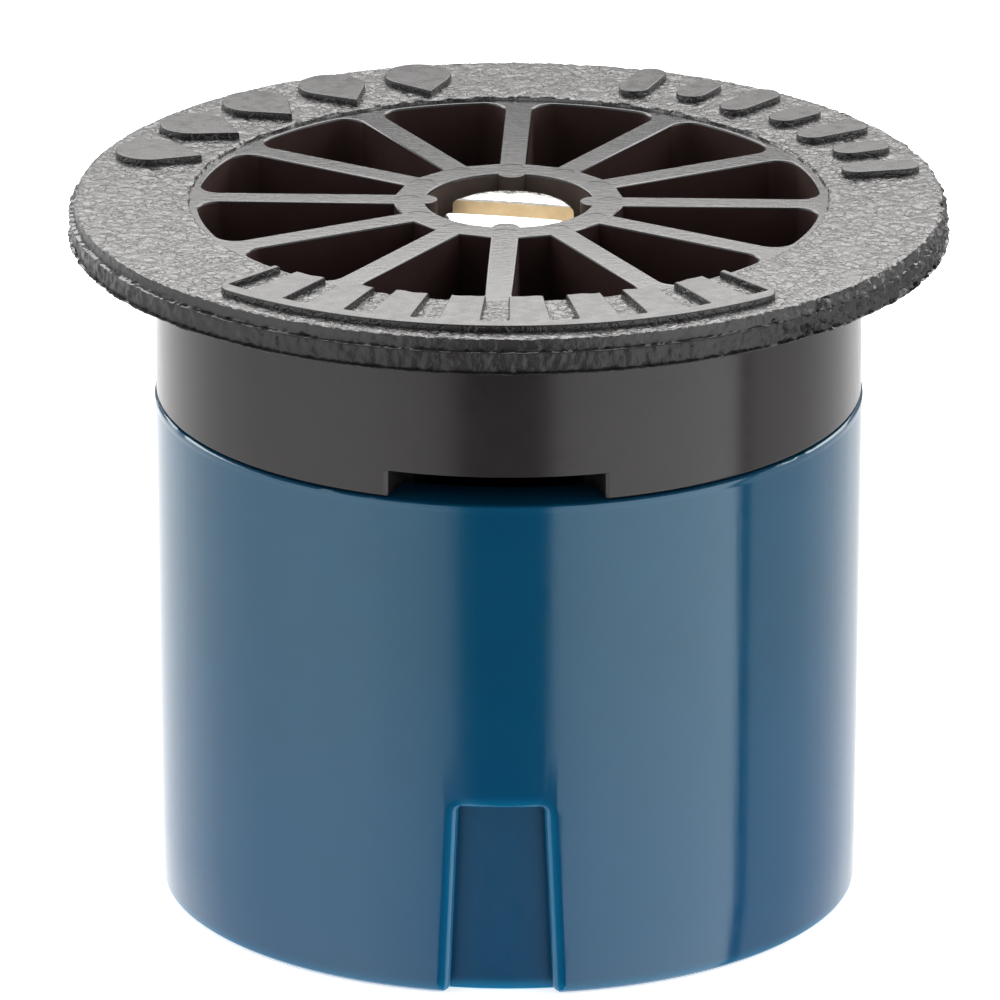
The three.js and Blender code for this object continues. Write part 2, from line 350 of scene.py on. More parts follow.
def arc_comb():
    """The raised arc indicator: an outer band with end walls, and pads that reach inwards like teeth."""
    half = math.radians(ARC_HALF_DEG)
    wall = math.radians(ARC_WALL_DEG)
    pad = math.radians(PAD_DEG)
    gap = (2 * half - PADS * pad) / (PADS + 1)
    band_r = ARC_OUTER_R - ARC_BAND
    reach = ARC_OUTER_R - ARC_CORNER_R
    swing = half + wall - math.asin(ARC_CORNER_R / reach)
    outline = [
        *arc(polar(reach, -swing), ARC_CORNER_R, -half - wall - QUARTER, -swing, 10),
        *arc((0, 0), ARC_OUTER_R, -swing, swing, 160)[1:-1],
        *arc(polar(reach, swing), ARC_CORNER_R, swing, half + wall + QUARTER, 10),
    ]
    edges = [half + wall, half]
    for i in range(PADS):
        top = half - gap - i * (pad + gap)
        edges += [top, top - pad]
    edges += [-half, -half - wall]
    fillet = 0.05
    for tooth in range(0, len(edges), 2):
        start, end = edges[tooth], edges[tooth + 1]
        for a in np.linspace(start, end, 8):
            uneven = 0.025 * math.sin(47 * a) + 0.02 * math.sin(91 * a)
            outline.append(polar(ARC_INNER_R + uneven, a))
        if tooth + 2 < len(edges):
            following = edges[tooth + 2]
            outline.append(polar(band_r - fillet, end))
            outline += arc((0, 0), band_r, end - fillet / band_r, following + fillet / band_r, 6)
            outline.append(polar(band_r - fillet, following))
    return raised_mark("arc_comb", rotated(outline, FRONT))


def raised_mark(name, outline):
    """A flat raised shape on the flange, with drafted sides and a rounded top edge."""
    profile = [
        (-0.02, SPOKE_Z - 0.1),
        (-0.01, GRAIN_Z),
        (0.0, MARK_Z - 0.03),
        (0.01, MARK_Z - 0.01),
        (0.03, MARK_Z),
    ]
    return loft(name, [(inset(outline, distance), z) for distance, z in profile])


def radial_bar(angle, inner, outer, width):
    """A plain bar that points at the axis, with round ends."""
    r = width / 2
    outline = [
        *arc((outer - r, 0), r, -QUARTER, QUARTER, 9),
        *arc((inner + r, 0), r, QUARTER, 3 * QUARTER, 9),
    ]
    return raised_mark("bar", rotated(outline, angle))


def droplet(angle, middle, radius):
    """A plain water drop whose point faces the axis."""
    tip = 1.65 * radius
    tangent = math.acos(radius / tip)
    outline = [
        (middle - tip, 0),
        *arc((middle, 0), radius, -math.pi + tangent, math.pi - tangent, 22),
    ]
    return raised_mark("droplet", rotated(outline, angle))


def flange_ring():
    """The flange's grained top and rough rim, as one closed ring. Its outline runs outwards along the
    underside, up the rim and inwards across the top."""
    rim, low = FLANGE_R, FLANGE_UNDER_Z
    under = [(r, low) for r in (7.9, 8.6, 9.3, 10.0, 10.6)]
    flash = [
        (rim - 0.2, low),
        (rim - 0.04, low + 0.005),
        (rim - 0.015, low + 0.02),
        (rim - 0.03, low + 0.035),
        (rim - 0.11, low + 0.045),
    ]
    band = [(rim - 0.10, z) for z in np.linspace(low + 0.08, LEDGE_Z - 0.07, 9)]
    ledge = [
        (rim - 0.05, LEDGE_Z - 0.035),
        (rim - 0.015, LEDGE_Z - 0.015),
        (rim - 0.03, LEDGE_Z),
        (rim - 0.14, LEDGE_Z + 0.01),
    ]
    wall_r = np.linspace(rim - 0.15, FLANGE_EDGE_R - 0.07, 6)
    wall = list(zip(wall_r, np.linspace(LEDGE_Z + 0.03, GRAIN_Z - 0.04, 6)))
    top_edge = [(FLANGE_EDGE_R - 0.085, GRAIN_Z - 0.012)]
    top = [(r, GRAIN_Z) for r in np.linspace(FLANGE_EDGE_R - 0.12, GRAIN_INNER_R + 0.03, 52)]
    inner = [
        (GRAIN_INNER_R - 0.01, GRAIN_Z - 0.04),
        (GRAIN_INNER_R - 0.04, SPOKE_Z - 0.05),
        (GRAIN_INNER_R - 0.10, SPOKE_Z - 0.2),
    ]

    def grain(x, y, z):
        """Worm-like creases that fade in and out between low, smooth bumps: 0 at the highest."""
        warp = 0.12 * noise_field(x, y, z, 2.5, 1)
        crease = np.zeros_like(x)
        for scale, width, seed in ((1.9, 0.10, 2), (3.4, 0.13, 8)):
            line = np.abs(noise_field(x + warp, y - warp, z, scale, seed))
            depth = np.clip(0.55 + 1.8 * noise_field(x, y, z, 1.3, seed + 1), 0.1, 1.0)
            crease = np.maximum(crease, np.clip(1 - line / width, 0, 1) * depth)
        return -0.038 * crease - 0.010 + 0.009 * np.clip(noise_field(x, y, z, 6.0, 4), -0.6, 0.6)

    def rough(radius, height, angles):
        """Grain and chips on the top, ragged flash below, and a rim that is partly torn."""
        x, y = radius * np.cos(angles), radius * np.sin(angles)
        if height[0] > GRAIN_Z - 0.02:
            edge = np.clip(1 - (FLANGE_EDGE_R - radius) / 0.22, 0, 1)
            chips = 0.45 * np.clip(noise_field(x, y, height, 3.2, 7) + 0.1, 0, 1)
            chips += 0.8 * np.clip(noise_field(x, y, height, 8.0, 3), 0, 1)
            return radius - 0.10 * edge * chips, height + grain(x, y, height) - 0.10 * edge * chips
        if radius[0] > rim - 0.105 and height[0] < low + 0.04:
            ragged = noise_field(x, y, 0 * height, 2.6, 9) + 0.9 * noise_field(x, y, 0 * height, 7.5, 10)
            return np.minimum(radius + 0.05 * ragged, rim), height
        if radius[0] > FLANGE_EDGE_R - 0.09:
            on_wall = height[0] > LEDGE_Z + 0.02
            coarse = noise_field(x, y, height * 0.4, 3.4, 4)
            fine = noise_field(x, y, height * (1.5 if on_wall else 0.6), 8.0, 5)
            coarse_depth, fine_depth = (0.01, 0.02) if on_wall else (0.03, 0.05)
            stepped = radius + coarse_depth * coarse + fine_depth * fine - 0.01
            round_front = (np.degrees(angles) + 90) % 360
            torn = np.clip((round_front - RIM_TORN_FROM_DEG) / RIM_TORN_FADE_DEG, 0, 1)
            torn *= np.clip((RIM_TORN_TO_DEG - round_front) / RIM_TORN_FADE_DEG, 0, 1)
            crumbs = noise_field(x, y, height, 4.5, 12) + 0.9 * noise_field(x, y, height, 10.0, 13)
            plain_r = [rim - 0.08, rim - 0.10, FLANGE_EDGE_R - 0.10]
            plain = np.interp(height[0], [low, LEDGE_Z, GRAIN_Z], plain_r)
            radius = stepped * (1 - torn) + (plain + 0.09 * crumbs) * torn
            return np.minimum(radius, rim), height + 0.02 * coarse + 0.02 * fine
        if radius[0] < GRAIN_INNER_R and height[0] > SPOKE_Z - 0.1:
            return radius + 0.05 * noise_field(x, y, height, 2.5, 6), height
        return radius, height

    outline = [*under, *flash, *band, *ledge, *wall, *top_edge, *top, *inner]
    return turned("flange_ring", outline, GRAIN_FACETS, rough)


def cap_core():
    """The cap's smooth parts before cutting: collar, plug and the disc that becomes spokes and hub."""
    plug_r = CUP_R - CUP_GAP
    seam = SEAM_Z + SEAM_GAP
    return turned("cap_core", [
        (0, OUTLET_TOP_Z),
        (plug_r - PLUG_WALL, OUTLET_TOP_Z),
        (plug_r - PLUG_WALL, PLUG_Z + 0.1),
        (plug_r - PLUG_WALL + 0.1, PLUG_Z),
        (plug_r - 0.15, PLUG_Z),
        (plug_r, PLUG_Z + 0.15),
        (plug_r, seam),
        (COLLAR_R - 0.03, seam),
        (COLLAR_R - 0.008, seam + 0.02),
        (COLLAR_R, seam + 0.06),
        (COLLAR_R, FLANGE_UNDER_Z - 0.25),
        (COLLAR_R + 0.02, FLANGE_UNDER_Z - 0.15),
        (COLLAR_R + 0.07, FLANGE_UNDER_Z - 0.06),
        (COLLAR_R + 0.16, FLANGE_UNDER_Z - 0.01),
        (COLLAR_R + 0.3, FLANGE_UNDER_Z + 0.05),
        (COLLAR_R + 0.3, SPOKE_Z - 0.3),
        (GRAIN_INNER_R + 0.3, SPOKE_Z - 0.2),
        (GRAIN_INNER_R + 0.2, SPOKE_Z),
        (0, SPOKE_Z),
    ])


def hub_tools():
    """The stepped bore, with a softened mouth, and the boss it goes down into."""
    boss = turned("boss", [
        (0, BOSS_Z),
        (BOSS_R - 0.1, BOSS_Z),
        (BOSS_R, BOSS_Z + 0.1),
        (BOSS_R, POCKET_FLOOR_Z - 0.3),
        (0, POCKET_FLOOR_Z - 0.3),
    ], SMALL_FACETS)
    bore = turned("bore", [
        (0, BOSS_Z - 1),
        (SCREW_BORE_R + 0.1, BOSS_Z - 1), (SCREW_BORE_R + 0.1, BOSS_Z),
        (SCREW_BORE_R, BOSS_Z + 0.15), (SCREW_BORE_R, GLAND_FLOOR_Z),
        (GLAND_R, GLAND_FLOOR_Z), (GLAND_R, HUB_BORE_FLOOR_Z - 0.15),
        (GLAND_R + 0.15, HUB_BORE_FLOOR_Z),
        (HUB_BORE_R, HUB_BORE_FLOOR_Z), (HUB_BORE_R, SPOKE_Z - 0.06),
        (HUB_BORE_R + 0.015, SPOKE_Z - 0.02),
        (HUB_BORE_R + 0.05, SPOKE_Z + 0.01), (HUB_BORE_R + 0.05, SPOKE_Z + 1),
        (0, SPOKE_Z + 1),
    ], SMALL_FACETS)
    return boss, bore


def outlet_tool():
    """The spray outlet: a slot through the collar's lower edge and the plug. Its ends are radial, with a
    chamfer outside and a small step inside, where the plug begins."""
    half = math.radians(OUTLET_HALF_DEG)
    step = math.radians(1.3)
    chamfer = 0.09
    inner = CUP_R - CUP_GAP - PLUG_WALL - 0.1

    def outline(grow):
        mouth = half + grow + chamfer / COLLAR_R
        wide = half + grow
        narrow = half + grow - step
        end = [
            (COLLAR_R + 0.01, mouth),
            (COLLAR_R - chamfer, wide), (CUP_R - 0.02, wide),
            (CUP_R - 0.08, narrow),
        ]
        return [
            *arc((0, 0), COLLAR_R + 1, FRONT - mouth, FRONT + mouth, 60),
            *[polar(r, FRONT + a) for r, a in end],
            *arc((0, 0), inner, FRONT + narrow, FRONT - narrow, 50),
            *[polar(r, FRONT - a) for r, a in reversed(end)],
        ]

    top = OUTLET_TOP_Z
    return loft("outlet", [(outline(0), PLUG_Z - 1), (outline(0), top - 0.03), (outline(-0.004), top)])


def around(count, make):
    """As many pieces as asked, evenly spaced round the axis."""
    return [make(2 * math.pi * i / count) for i in range(count)]


def round_post(angle, reach, radius, low, high):
    """An upright round post, at a distance from the axis."""
    circle = arc(polar(reach, angle), radius, 0, 2 * math.pi, 33)[:-1]
    return loft("post", [(circle, low), (circle, high)])


def deflector_cap():
    cap = cap_core()
    boss, bore = hub_tools()
    combine(cap, boss, "UNION")
    combine(cap, joined("pockets", around(SPOKES, pocket)), "DIFFERENCE")
    combine(cap, bore, "DIFFERENCE")
    combine(cap, outlet_tool(), "DIFFERENCE")
    rib_at = HUB_BORE_R + HUB_RIB_R - HUB_RIB_REACH
    rib = lambda angle: round_post(angle, rib_at, HUB_RIB_R, HUB_BORE_FLOOR_Z - 0.1, SPOKE_Z - 0.004)
    combine(cap, joined("ribs", around(HUB_RIBS, rib)), "UNION")
    mark_z = SPOKE_Z - EJECTOR_MARK_DEPTH
    mark = lambda angle: round_post(angle, EJECTOR_MARK_AT, EJECTOR_MARK_R, mark_z, SPOKE_Z + 1)
    combine(cap, joined("ejector_marks", around(SPOKES, mark)), "DIFFERENCE")
    combine(cap, flange_ring(), "UNION")
    bars = []
    for i in range(BARS):
        cut = BAR_CUT * (i % 2)
        angle = math.radians(BAR_START_DEG + BAR_STEP_DEG * i)
        bars.append(radial_bar(angle, BAR_INNER_R + cut, BAR_OUTER_R - cut, BAR_WIDTH))
    drop_angles = [math.radians(DROP_START_DEG + DROP_STEP_DEG * i) for i in range(DROPS)]
    drops = [droplet(angle, DROP_MIDDLE_R, DROP_R) for angle in drop_angles]
    combine(cap, joined("marks", [arc_comb(), *bars, *drops]), "UNION")
    cap.name = cap.data.name = "moulded_deflector_cap"
    return cap


# ---------- nozzle body ----------


def body_surface(radius, height, angles):
    """Winds the right-handed thread into the skirt's wall, fading out at both ends, and leaves a little
    ragged flash on the top edge."""
    z = height[0]
    if z > SEAM_Z - 0.03 and radius[0] > BODY_TOP_R - 0.2:
        x, y = radius * np.cos(angles), radius * np.sin(angles)
        flash = np.clip(noise_field(x, y, height, 2.4, 11) - 0.18, 0, 1)
        flash += 0.25 * noise_field(x, y, height, 7.0, 12)
        return radius + 0.05 * flash, height - 0.01
    if abs(radius[0] - THREAD_MAJOR_R) > 0.001 or z > THREAD_END_Z + 0.6 or z < 0.25:
        return radius, height
    phase = (z / THREAD_PITCH - angles / (2 * math.pi)) % 1.0
    from_crest = np.abs(phase - 0.5) * 2
    ridge = np.clip((0.88 - from_crest) / 0.72, 0, 1)      # flat root and crest, sloping flanks
    turn_z = z - angles / (2 * math.pi) * THREAD_PITCH
    fade = np.clip((turn_z - THREAD_START_Z + 0.8) / 0.4, 0, 1)
    fade *= np.clip((THREAD_END_Z - z) / 0.4, 0, 1)
    return radius - (THREAD_MAJOR_R - THREAD_MINOR_R) * ridge * fade, height


def skirt_r(z):
    """The skirt's radius, which grows a little upwards."""
    return BODY_BASE_R + (BODY_TOP_R - 0.02 - BODY_BASE_R) * (z - 0.2) / (SEAM_Z - 0.45)


def recess_tool(angle):
    """A tapered recess in the skirt, with a round floor. Its border is a small bevel and a soft roll."""
    floor_r = BODY_BASE_R - RECESS_DEPTH
    half_top = floor_r * math.tan(math.radians(RECESS_TOP_HALF_DEG))
    half_base = floor_r * math.tan(math.radians(RECESS_BASE_HALF_DEG))
    flare = 0.22                       # at the foot, where the recess runs out of the skirt's edge

    def outline(grow):
        corner = 0.10 + grow
        top = RECESS_HEIGHT - 0.07 + 0.8 * grow
        edge = half_top + grow
        foot = half_base + grow
        return [
            (-foot - flare, -1), (foot + flare, -1),
            *arc((foot + flare, flare), flare, 3 * QUARTER, 2 * QUARTER, 7),
            *arc((edge - corner, top - corner), corner, 0, QUARTER, 7),
            *[(x, top) for x in np.linspace(edge - corner, corner - edge, 11)[1:-1]],
            *arc((corner - edge, top - corner), corner, QUARTER, 2 * QUARTER, 7),
            *arc((-foot - flare, flare), flare, 0, -QUARTER, 7),
        ]

    wall = BODY_BASE_R
    levels = [
        (0.0, floor_r - 1),
        (0.0, wall - 0.16), (0.02, wall - 0.12), (0.07, wall - 0.06), (0.10, wall - 0.04),
        (0.16, wall - 0.022), (0.24, wall - 0.009), (0.33, wall - 0.001), (0.38, wall + 0.004),
        (0.38, 10),
    ]
    block = loft("recess_block", [(outline(grow), r) for grow, r in levels])
    # Bend the block round the skirt: its Z was the distance outwards, measured from the straight wall.
    for v in block.data.vertices:
        x, z, out = (c / MM for c in v.co)
        surface = math.sqrt(max(skirt_r(z) ** 2 - x ** 2, 0))
        v.co = Vector((x, wall - out - surface, z)) * MM
    ring = turned("recess_ring", [(floor_r, -2), (11, -2), (11, SEAM_Z), (floor_r, SEAM_Z)])
    combine(block, ring, "INTERSECT")
    block.data.transform(Matrix.Rotation(angle, 4, "Z"))
    return block


def nozzle_body():
    thread = [(THREAD_MAJOR_R, z) for z in np.arange(THREAD_END_Z + 0.55, 0.3, -0.07)]
    rise = np.linspace(0, 1, 9)
    skirt = [(skirt_r(z), z) for z in 0.2 + (SEAM_Z - 0.45) * rise]
    body = turned("moulded_nozzle_body", [
        # skirt's foot
        (THREAD_MAJOR_R + 0.15, 0.03), (THREAD_MAJOR_R + 0.19, 0),
        (BODY_BASE_R - 0.16, 0), (BODY_BASE_R - 0.08, 0.02), (BODY_BASE_R - 0.02, 0.08),
        *skirt,
        # top edge and cup
        (BODY_TOP_R - 0.02, SEAM_Z - 0.2), (BODY_TOP_R, SEAM_Z - 0.13), (BODY_TOP_R - 0.01, SEAM_Z - 0.06),
        (BODY_TOP_R - 0.05, SEAM_Z - 0.015), (BODY_TOP_R - 0.1, SEAM_Z),
        (CUP_R + 0.08, SEAM_Z), (CUP_R, SEAM_Z - 0.08),
        (CUP_R, WEB_TOP_Z + 0.2), (CUP_R - 0.06, WEB_TOP_Z + 0.06), (CUP_R - 0.2, WEB_TOP_Z),
        # orifice in the web
        (ORIFICE_R + 0.1, WEB_TOP_Z), (ORIFICE_R, WEB_TOP_Z - 0.1),
        (ORIFICE_R, WEB_Z + 0.1), (ORIFICE_R + 0.1, WEB_Z),
        # the washer's cup below it
        (WASHER_CUP_R - 0.1, WEB_Z), (WASHER_CUP_R, WEB_Z - 0.1),
        (WASHER_CUP_R, WASHER_CUP_Z + 0.1), (WASHER_CUP_R + 0.1, WASHER_CUP_Z),
        (WASHER_CUP_OUTER_R - 0.1, WASHER_CUP_Z), (WASHER_CUP_OUTER_R, WASHER_CUP_Z + 0.1),
        (WASHER_CUP_OUTER_R, WEB_Z - 0.1), (WASHER_CUP_OUTER_R + 0.1, WEB_Z),
        # skirt's inner wall
        (THREAD_MAJOR_R - 0.1, WEB_Z), (THREAD_MAJOR_R, WEB_Z - 0.1),
        *thread,
    ], FACETS, body_surface)
    turn = math.radians(RECESS_TURN_DEG)
    combine(body, joined("recesses", [recess_tool(turn), recess_tool(turn + math.pi)]), "DIFFERENCE")
    return body


# ---------- screw and seals ----------


def adjusting_screw():
    """Slotted screw: turned head, threaded shank with a seal groove, and a tapered throttling tip."""
    head_z = HEAD_TOP_Z - HEAD_HEIGHT
    tip_z = screw_low[2]
    groove_low, groove_high = ring_low[2] - 0.1, ring_high[2] + 0.1
    thread_low, thread_high = tip_z + 1.2, groove_low - 0.4

    def thread(radius, height, angles):
        z = height[0]
        if radius[0] < SHANK_R - 0.001 or not thread_low < z < thread_high:
            return radius, height
        phase = (z / SCREW_PITCH - angles / (2 * math.pi)) % 1.0
        return radius - SCREW_THREAD_DEPTH * np.abs(phase - 0.5) * 2, height

    shank = [(SHANK_R, z) for z in np.arange(thread_low, thread_high, 0.06)]
    crown_r = HEAD_R - 0.2
    crown = [(crown_r * s, HEAD_TOP_Z - HEAD_CROWN * s * s) for s in np.linspace(1, 0, 9)]
    screw = turned("slotted_adjusting_screw", [
        # throttling tip
        (0, tip_z), (0.42, tip_z), (0.5, tip_z + 0.06),
        (SHANK_R - 0.02, tip_z + 0.98), (SHANK_R, tip_z + 1.05),
        *shank,
        # seal's groove
        (SHANK_R, groove_low), (GROOVE_R, groove_low), (GROOVE_R, groove_high), (SHANK_R, groove_high),
        # head
        (SHANK_R, head_z - 0.1), (SHANK_R + 0.1, head_z), (HEAD_R - 0.08, head_z), (HEAD_R, head_z + 0.08),
        (HEAD_R, HEAD_TOP_Z - 0.17), (HEAD_R - 0.02, HEAD_TOP_Z - 0.11),
        (HEAD_R - 0.06, HEAD_TOP_Z - 0.065), (HEAD_R - 0.12, HEAD_TOP_Z - 0.035),
        *crown,
    ], SMALL_FACETS, thread)
    half, reach = SLOT_WIDTH / 2, HEAD_R + 1
    floor_z = HEAD_TOP_Z - SLOT_DEPTH
    levels = [
        (-0.03, floor_z),
        (0.0, floor_z + 0.03),
        (0.0, HEAD_TOP_Z - 0.05),
        (0.05, HEAD_TOP_Z + 0.01),
        (0.05, HEAD_TOP_Z + 1),
    ]
    box = lambda g: [(-reach, -half - g), (reach, -half - g), (reach, half + g), (-reach, half + g)]
    turn = math.radians(SLOT_TURN_DEG)
    slot = loft("slot", [(rotated(box(grow), turn), z) for grow, z in levels])
    combine(screw, slot, "DIFFERENCE")
    return screw


def o_ring():
    middle = (ring_low[2] + ring_high[2]) / 2
    section = (ring_high[2] - ring_low[2]) / 2
    centre = ring_high[0] - section
    ring = arc((centre, middle), section, 0, 2 * math.pi, 33)[:-1]
    return turned("rubber_o_ring", ring, O_RING_FACETS)


def flat_ring(name, inner, low, high, edge):
    """A washer as large as its CAD node, with rounded edges."""
    outer, z0, z1 = high[0], low[2], high[2]
    corner = lambda r, z, start: arc((r, z), edge, start, start + QUARTER, 5)
    return turned(name, [
        *corner(outer - edge, z0 + edge, -QUARTER),
        *corner(outer - edge, z1 - edge, 0),
        *corner(inner + edge, z1 - edge, QUARTER),
        *corner(inner + edge, z0 + edge, math.pi),
    ], WASHER_FACETS)


def snap_ring():
    """The washer's retainer: a split ring."""
    ring = flat_ring("snap_retainer", RETAINER_INNER_R, retainer_low, retainer_high, 0.06)
    half = RETAINER_SPLIT / 2
    inner, outer = RETAINER_INNER_R - 0.9, retainer_high[0] + 1
    gap = [(inner, -half), (outer, -half), (outer, half), (inner, half)]
    combine(ring, loft("split", [(gap, retainer_low[2] - 1), (gap, retainer_high[2] + 1)]), "DIFFERENCE")
    return ring


# ---------- materials ----------

BLACK = (0.0135, 0.0115, 0.012)
WORN_BLACK = (0.0165, 0.0145, 0.015)


class Nodes:
    """A short way to build a node tree."""

    def __init__(self, name):
        self.material = bpy.data.materials.new(name)
        self.material.use_nodes = True
        self.tree = self.material.node_tree
        self.shader = self.tree.nodes["Principled BSDF"]
        place = self.add("ShaderNodeTexCoord")
        scale = self.add("ShaderNodeMapping")
        scale.inputs["Scale"].default_value = (1 / MM,) * 3
        self.link(place.outputs["Object"], scale.inputs["Vector"])
        self.mm = scale.outputs["Vector"]

    def add(self, kind, **settings):
        node = self.tree.nodes.new(kind)
        for key, value in settings.items():
            setattr(node, key, value)
        return node

    def link(self, source, target):
        self.tree.links.new(source, target)

    def noise(self, scale, detail=2.0, roughness=0.5, stretch=None):
        """Noise with features of about 1/scale millimetres."""
        node = self.add("ShaderNodeTexNoise")
        node.inputs["Scale"].default_value = scale
        node.inputs["Detail"].default_value = detail
        node.inputs["Roughness"].default_value = roughness
        vector = self.mm
        if stretch:
            mapping = self.add("ShaderNodeMapping")
            mapping.inputs["Scale"].default_value = stretch
            self.link(vector, mapping.inputs["Vector"])
            vector = mapping.outputs["Vector"]
        self.link(vector, node.inputs["Vector"])
        return node.outputs["Fac"]

    def creases(self, scale, width):
        """Thin winding lines: 0 in the middle of a line, 1 away from it."""
        offset = self.add("ShaderNodeMath", operation="SUBTRACT")
        self.link(self.noise(scale, 1.0), offset.inputs[0])
        offset.inputs[1].default_value = 0.5
        size = self.add("ShaderNodeMath", operation="ABSOLUTE")
        self.link(offset.outputs[0], size.inputs[0])
        return self.spread(size.outputs[0], 0.0, 1.0, 0.0, width)

    def spread(self, value, low, high, from_low=0.3, from_high=0.7):
        """The value, stretched from its own range to low and high."""
        node = self.add("ShaderNodeMapRange")
        self.link(value, node.inputs["Value"])
        ends = {"From Min": from_low, "From Max": from_high, "To Min": low, "To Max": high}
        for key, number in ends.items():
            node.inputs[key].default_value = number
        return node.outputs["Result"]

    def colours(self, value, first, second):
        """A colour between the first and the second, by the value of a noise."""
        ramp = self.add("ShaderNodeValToRGB")
        for element, at, colour in zip(ramp.color_ramp.elements, (0.3, 0.7), (first, second)):
            element.position = at
            element.color = (*colour, 1)
        self.link(value, ramp.inputs["Fac"])
        return ramp.outputs["Color"]

    def mixed(self, factor, first, second):
        """The first colour, which goes over to a plain second one as the factor grows."""
        node = self.add("ShaderNodeMix", data_type="RGBA")
        self.link(factor, node.inputs["Factor"])
        self.link(first, node.inputs["A"])
        node.inputs["B"].default_value = (*second, 1)
        return node.outputs["Result"]

    def bump(self, height, distance, strength=1.0, below=None):
        """Bump with its depth in millimetres."""
        node = self.add("ShaderNodeBump")
        node.inputs["Distance"].default_value = distance * MM
        node.inputs["Strength"].default_value = strength
        self.link(height, node.inputs["Height"])
        if below:
            self.link(below, node.inputs["Normal"])
        return node.outputs["Normal"]

    def set(self, **inputs):
        for key, value in inputs.items():
            socket = self.shader.inputs[key.replace("_", " ")]
            if isinstance(value, bpy.types.NodeSocket):
                self.link(value, socket)
            else:
                socket.default_value = value
        return self.material


def blue_plastic(name, low, high, grain_depth, gloss):
    """Translucent blue, a little bluer and lighter towards the foot of the skirt. Its thin edges low down
    are painted a brighter cyan: a painted glow, for light that comes through them from behind."""
    n = Nodes(name)
    height = n.add("ShaderNodeSeparateXYZ")
    n.link(n.mm, height.inputs[0])
    upper = n.colours(n.noise(0.5, 3), (0.0006, 0.037, 0.080), (0.0008, 0.041, 0.088))
    colour = n.mixed(n.spread(height.outputs["Z"], 1.0, 0.0, 1.0, 9.0), upper, (0.0004, 0.044, 0.112))
    # Painted glow: where the skirt is thin, low down, its colour goes over to a brighter cyan.
    thin = n.add("ShaderNodeAmbientOcclusion", samples=6, inside=True, only_local=True)
    thin.inputs["Distance"].default_value = 0.34 * MM
    low_down = n.spread(height.outputs["Z"], 1.0, 0.0, 5.5, 6.5)
    painted_glow_mask = n.add("ShaderNodeMath", operation="MULTIPLY")
    n.link(n.spread(thin.outputs["AO"], 1.0, 0.0, 0.5, 0.97), painted_glow_mask.inputs[0])
    n.link(low_down, painted_glow_mask.inputs[1])
    glow = n.mixed(painted_glow_mask.outputs[0], colour, (0.001, 0.145, 0.285))
    waves = n.bump(n.noise(0.35, 1, stretch=(1, 1, 0.25)), 0.02, 0.5)
    drawn = n.bump(n.noise(3.0, 3, stretch=(1, 1, 0.05)), 0.0036, 0.5, below=waves)
    grain = n.bump(n.noise(14, 3), grain_depth, 0.6, below=drawn)
    n.shader.inputs["Specular IOR Level"].default_value = gloss
    n.shader.inputs["Specular Tint"].default_value = (0.70, 0.86, 0.90, 1)
    roughness = n.spread(n.noise(3, 4), low, high)
    return n.set(
        Base_Color=glow, Roughness=roughness, Normal=grain, IOR=1.72,
        Subsurface_Weight=0.35, Subsurface_Radius=(0.25, 0.8, 1.0), Subsurface_Scale=0.5 * MM,
    )


def satin_black():
    """The collar, the flange's underside and the cap's hidden parts."""
    n = Nodes("satin_black")
    colour = n.colours(n.noise(1.2, 4), BLACK, (0.0155, 0.0135, 0.014))
    fine = n.bump(n.noise(14, 4, 0.6), 0.0008, 0.7)
    return n.set(Base_Color=colour, Roughness=n.spread(n.noise(4, 4), 0.15, 0.20), Normal=fine, IOR=1.47)


def grained_black():
    """The moulded grain: crisp creases between low bumps, and the same on the rim."""
    n = Nodes("grained_black")
    colour = n.colours(n.noise(1.2, 4), BLACK, WORN_BLACK)
    large = n.bump(n.creases(2.8, 0.045), 0.018, 0.8)
    small = n.bump(n.creases(6.0, 0.05), 0.008, 0.7, below=large)
    fine = n.bump(n.noise(15, 3, 0.6), 0.003, 0.7, below=small)
    return n.set(Base_Color=colour, Roughness=n.spread(n.noise(4, 4), 0.22, 0.34), Normal=fine, IOR=1.60)


def mark_black():
    """The tops of the raised marks: as matt as the grain, but smooth."""
    n = Nodes("mark_black")
    colour = n.colours(n.noise(1.2, 4), BLACK, WORN_BLACK)
    scuffs = n.bump(n.noise(5, 4, 0.6), 0.006, 0.6)
    return n.set(Base_Color=colour, Roughness=n.spread(n.noise(3, 4), 0.20, 0.34), Normal=scuffs, IOR=1.46)


def rim_black(name, gloss, depth, upright):
    """The flange's rim: pits and marks, drawn out upwards where `upright` is below 1."""
    n = Nodes(name)
    colour = n.colours(n.noise(1.2, 4), (0.0120, 0.0105, 0.0110), WORN_BLACK)
    streaks = n.bump(n.noise(6, 3, 0.6, stretch=(1, 1, upright)), depth, 0.9)
    pits = n.bump(n.noise(13, 3, 0.6), 0.012, 0.7, below=streaks)
    n.shader.inputs["Specular IOR Level"].default_value = gloss
    return n.set(Base_Color=colour, Roughness=n.spread(n.noise(4, 4), 0.26, 0.40), Normal=pits, IOR=1.5)


def polished_black():
    """The spokes and the hub: smooth, with faint flow marks and scuffs."""
    n = Nodes("polished_black")
    colour = n.colours(n.noise(0.9, 4), (0.013, 0.012, 0.0135), (0.016, 0.0145, 0.0145))
    scuffs = n.bump(n.noise(3.5, 5, 0.65, stretch=(1, 2.2, 1)), 0.010, 0.6)
    roughness = n.spread(n.noise(2.2, 5, 0.65), 0.06, 0.15)
    return n.set(Base_Color=colour, Roughness=roughness, Normal=scuffs, IOR=1.5)


def matt_black(name, low, high):
    """The walls and floors of the pockets and the hub's bore, which the mould leaves matt. In the pockets
    this reddish black, which reflects little, is also painted shade, for the shade deep in them; in the bore
    it is lighter and browner.
    """
    n = Nodes(name)
    colour = n.colours(n.noise(1.5, 3), low, high)
    fine = n.bump(n.noise(9, 4, 0.6), 0.006, 0.6)
    n.shader.inputs["Specular IOR Level"].default_value = 0.08
    return n.set(Base_Color=colour, Roughness=n.spread(n.noise(4, 3), 0.55, 0.7), Normal=fine)


